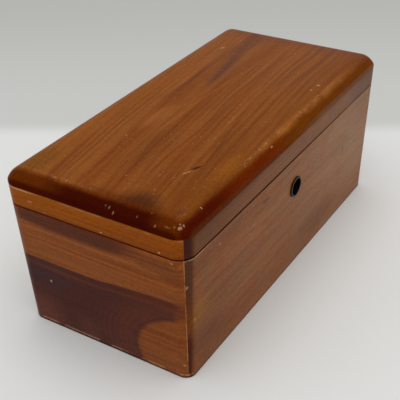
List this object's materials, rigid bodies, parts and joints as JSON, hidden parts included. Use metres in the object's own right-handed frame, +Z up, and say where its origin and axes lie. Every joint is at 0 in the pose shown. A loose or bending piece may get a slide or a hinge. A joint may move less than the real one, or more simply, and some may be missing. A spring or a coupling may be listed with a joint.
{
  "type": "keepsake box",
  "caption": "Small lacquered cedar chest with leaning mitred walls, a round-edged hinged lid, brass butt hinges and a key lock behind a round keyhole in the front.",
  "frame": {"origin": "middle of the underside, on the surface that the box stands on", "axes": "+X along the front, -Y towards the front with the keyhole, +Z up"},
  "size_m": [0.23, 0.1124, 0.0969],
  "materials": {
    "lacquered_cedar": "clear lacquer over red cedar heartwood and sapwood",
    "bare_cedar": "planed and left bare",
    "brass": "stamped, slightly tarnished",
    "darkened_brass": "turned, darkened with age",
    "lock_steel": "stamped sheet steel",
    "spring_steel": "blued flat spring"
  },
  "bodies": {
    "box": {"front_panel": "lacquered_cedar", "back_panel": "lacquered_cedar", "left_end_panel": "lacquered_cedar", "right_end_panel": "lacquered_cedar", "bottom_panel": "bare_cedar", "left_hinge_body_leaf": "brass", "left_hinge_pin": "brass", "right_hinge_body_leaf": "brass", "right_hinge_pin": "brass", "hinge_body_screws": "brass", "lock_case": "lock_steel", "lock_cover_plate": "lock_steel", "lock_cover_screws": "lock_steel", "keyhole_ferrule": "darkened_brass"},
    "lid": {"lid_top": "lacquered_cedar", "lid_front_rail": "lacquered_cedar", "lid_back_rail": "lacquered_cedar", "lid_left_rail": "lacquered_cedar", "lid_right_rail": "lacquered_cedar", "left_hinge_lid_leaf": "brass", "right_hinge_lid_leaf": "brass", "hinge_lid_screws": "brass", "strike_plate": "lock_steel", "strike_hook": "lock_steel", "strike_screws": "lock_steel"},
    "bolt": {"lock_bolt": "lock_steel", "lock_bolt_spring": "spring_steel"}
  },
  "joints": [
    {"name": "lid_hinge", "type": "hinge", "parent": "box", "child": "lid", "pos_m": [0, 0.0544, 0.0773], "axis": [-1, 0, 0], "range_deg": [0, 100]},
    {"name": "bolt_slide", "type": "slide", "parent": "box", "child": "bolt", "axis": [-1, 0, 0], "range_m": [0, 0.003]}
  ]
}
